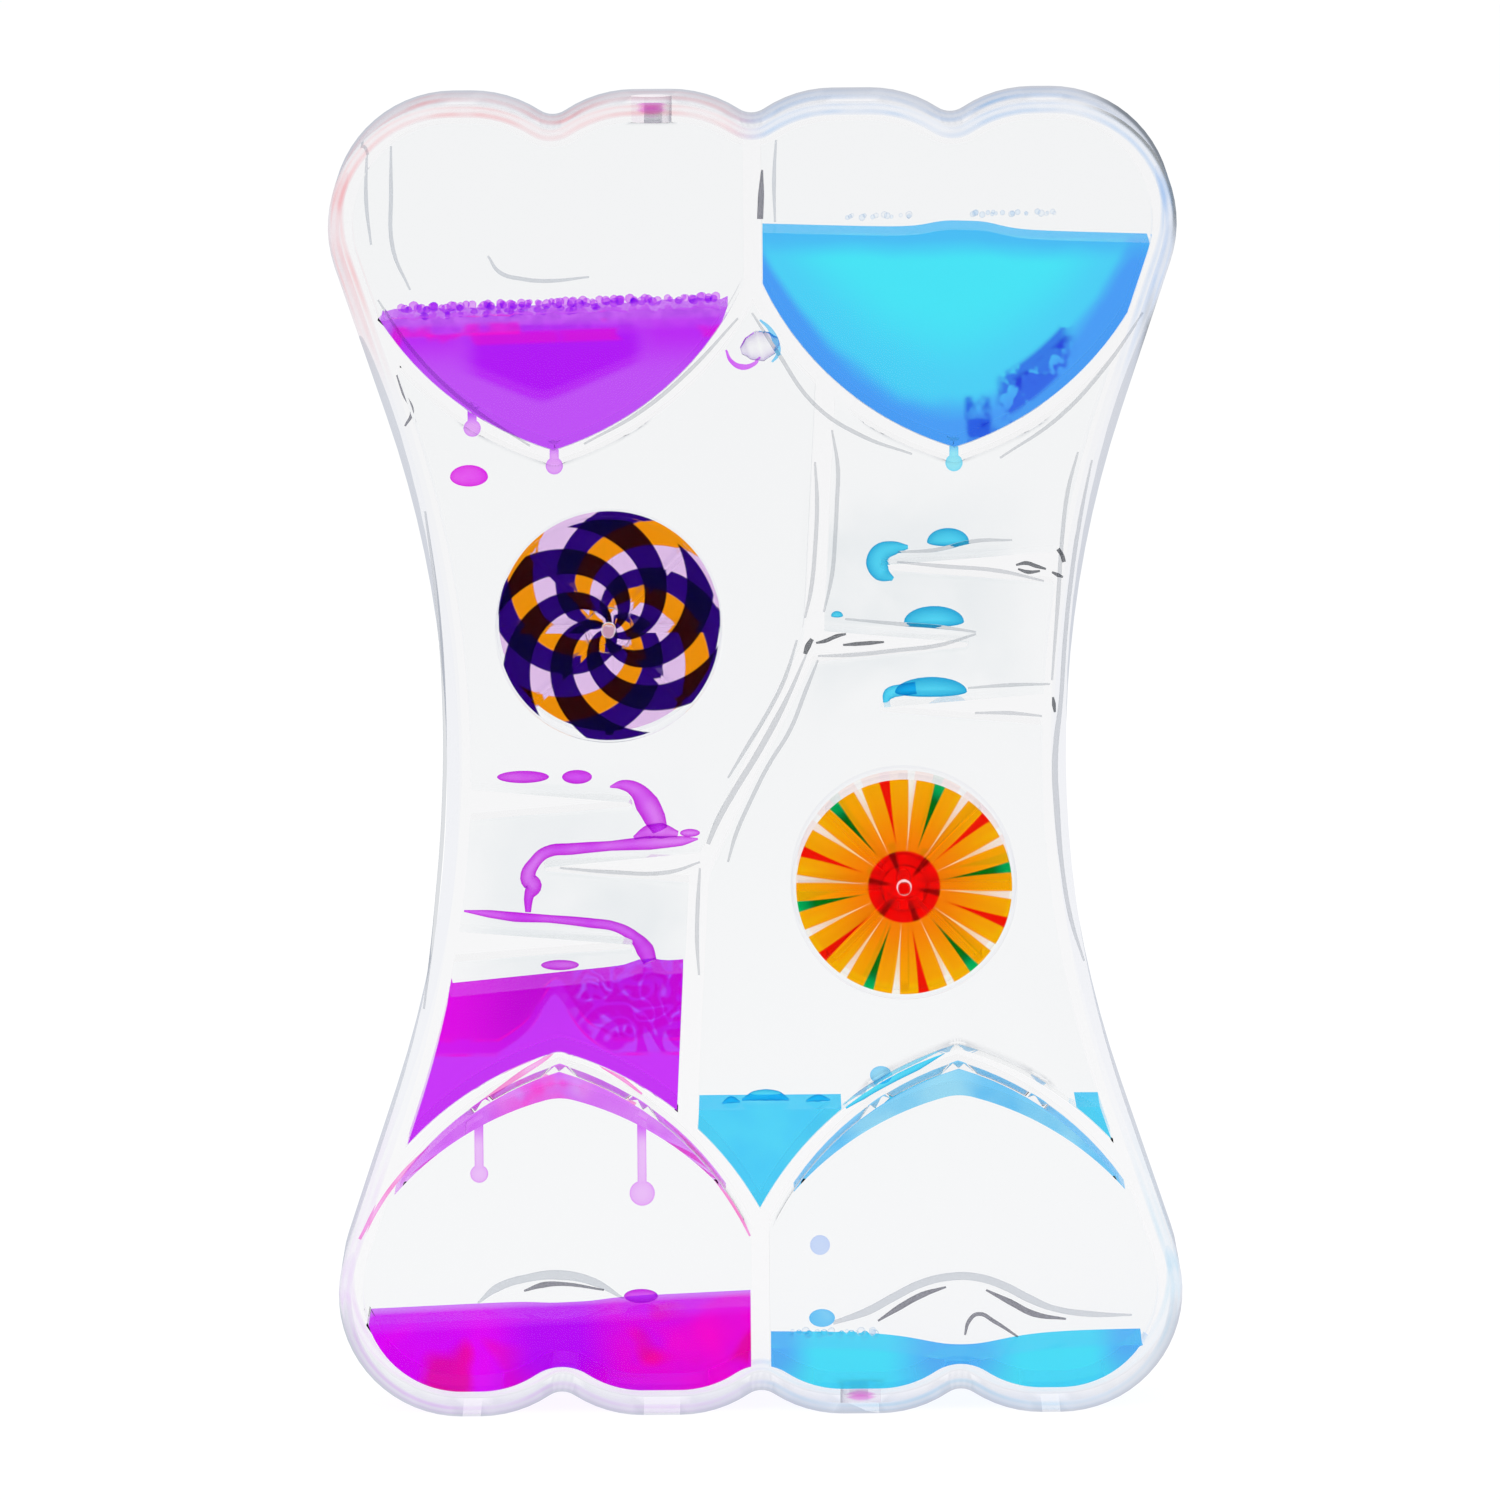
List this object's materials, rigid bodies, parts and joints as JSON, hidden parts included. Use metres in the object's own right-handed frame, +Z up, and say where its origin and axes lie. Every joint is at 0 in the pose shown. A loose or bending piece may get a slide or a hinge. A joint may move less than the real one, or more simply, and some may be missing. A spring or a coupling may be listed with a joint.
{
  "type": "liquid motion timer",
  "caption": "Flat clear hourglass-shaped case in which coloured drops fall through clear oil, turn paddle wheels with patterned discs and run down sloping ledges.",
  "frame": {"origin": "on the table, under the middle of the case's footprint", "axes": "+Z up along the case's height, +Y through its depth to the back, +X to the right seen from the front"},
  "size_m": [0.093, 0.025, 0.145],
  "materials": {
    "clear_shell": "polished clear",
    "clear_plug": "clear",
    "clear_pin": "clear",
    "clear_wheel": "clear",
    "pinwheel_print": "printed film",
    "sunburst_print": "printed film",
    "violet_liquid": "dyed liquid",
    "blue_liquid": "dyed liquid"
  },
  "bodies": {
    "housing": {"front_shell": "clear_shell", "back_shell": "clear_shell", "violet_fill_plug": "clear_plug", "blue_fill_plug": "clear_plug", "left_axle_pin": "clear_pin", "right_axle_pin": "clear_pin", "violet_upper_fill": "violet_liquid", "violet_ledge_streams": "violet_liquid", "violet_middle_pool": "violet_liquid", "violet_roof_film": "violet_liquid", "violet_lower_fill": "violet_liquid", "blue_upper_fill": "blue_liquid", "blue_ledge_drops": "blue_liquid", "blue_middle_pool": "blue_liquid", "blue_roof_film": "blue_liquid", "blue_lower_fill": "blue_liquid"},
    "left_wheel": {"left_wheel_paddles": "clear_wheel", "left_wheel_front_disc": "clear_wheel", "left_wheel_front_print": "pinwheel_print", "left_wheel_back_disc": "clear_wheel", "left_wheel_back_print": "pinwheel_print"},
    "right_wheel": {"right_wheel_paddles": "clear_wheel", "right_wheel_front_disc": "clear_wheel", "right_wheel_front_print": "sunburst_print", "right_wheel_back_disc": "clear_wheel", "right_wheel_back_print": "sunburst_print"}
  },
  "joints": [
    {"name": "left_wheel_spin", "type": "hinge", "parent": "housing", "child": "left_wheel", "pos_m": [-0.01615, 0, 0.08685], "axis": [0, 1, 0], "continuous": true},
    {"name": "right_wheel_spin", "type": "hinge", "parent": "housing", "child": "right_wheel", "pos_m": [0.01615, 0, 0.05815], "axis": [0, 1, 0], "continuous": true}
  ]
}
